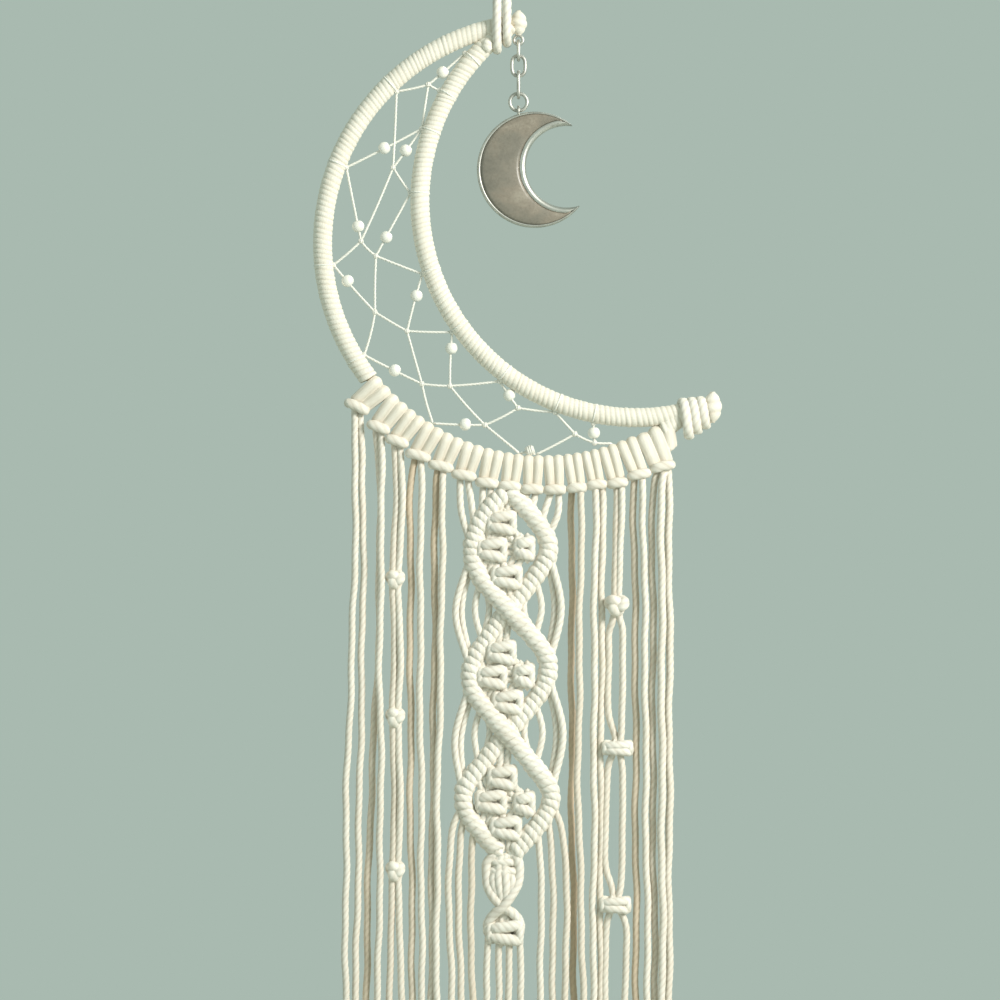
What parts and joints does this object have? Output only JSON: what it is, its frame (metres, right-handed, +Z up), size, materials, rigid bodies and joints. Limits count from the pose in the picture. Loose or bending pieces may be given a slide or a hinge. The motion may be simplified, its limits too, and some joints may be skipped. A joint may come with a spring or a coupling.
{
  "type": "dreamcatcher with its crescent hoop",
  "caption": "Crescent dreamcatcher: wrapped moon-shaped hoop, beaded thread web, crescent charm on a short chain, and long cotton cords beside a knotted macrame panel of diamonds.",
  "frame": {"origin": "top inside of the hanging loop, where a nail or hook carries it", "axes": "+Z up, +X to the right seen from the front, the front faces -Y and the wall lies behind at +Y"},
  "size_m": [0.1839, 0.0156, 0.6484],
  "materials": {
    "cotton_cord": "matte",
    "hoop_wrapping": "matte",
    "web_thread": "matte",
    "beads": "satin",
    "metal": "satin",
    "charm_stone": "satin"
  },
  "bodies": {
    "wall_hanging": {"crescent_hoop": "hoop_wrapping", "hanging_loop": "cotton_cord", "horn_binding": "cotton_cord", "thread_web": "web_thread", "bead_1": "beads", "bead_2": "beads", "bead_3": "beads", "bead_4": "beads", "bead_5": "beads", "bead_6": "beads", "bead_7": "beads", "bead_8": "beads", "bead_9": "beads", "bead_10": "beads", "bead_11": "beads", "bead_12": "beads", "cords_left_1": "cotton_cord", "cords_left_2": "cotton_cord", "cords_left_3": "cotton_cord", "cords_left_4": "cotton_cord", "cords_left_5": "cotton_cord", "macrame_panel": "cotton_cord", "cords_right_1": "cotton_cord", "cords_right_2": "cotton_cord", "cords_right_3": "cotton_cord", "cords_right_4": "cotton_cord", "cords_right_5": "cotton_cord"},
    "top_link": {"chain_link_top": "metal"},
    "lower_links": {"chain_link_face": "metal", "chain_link_low": "metal"},
    "charm": {"chain_ring": "metal", "charm_bezel": "metal", "charm_stone": "charm_stone"}
  },
  "joints": [
    {"name": "chain_swing", "type": "hinge", "parent": "wall_hanging", "child": "top_link", "pos_m": [0.007, 0, -0.05895], "axis": [0, 1, 0], "range_deg": [-30, 8]},
    {"name": "chain_rock", "type": "hinge", "parent": "top_link", "child": "lower_links", "pos_m": [0.007, 0, -0.06555], "axis": [1, 0, 0], "range_deg": [-40, 4]},
    {"name": "charm_swing", "type": "hinge", "parent": "lower_links", "child": "charm", "pos_m": [0.007, 0, -0.08428], "axis": [0, 1, 0], "range_deg": [-15, 15]}
  ]
}
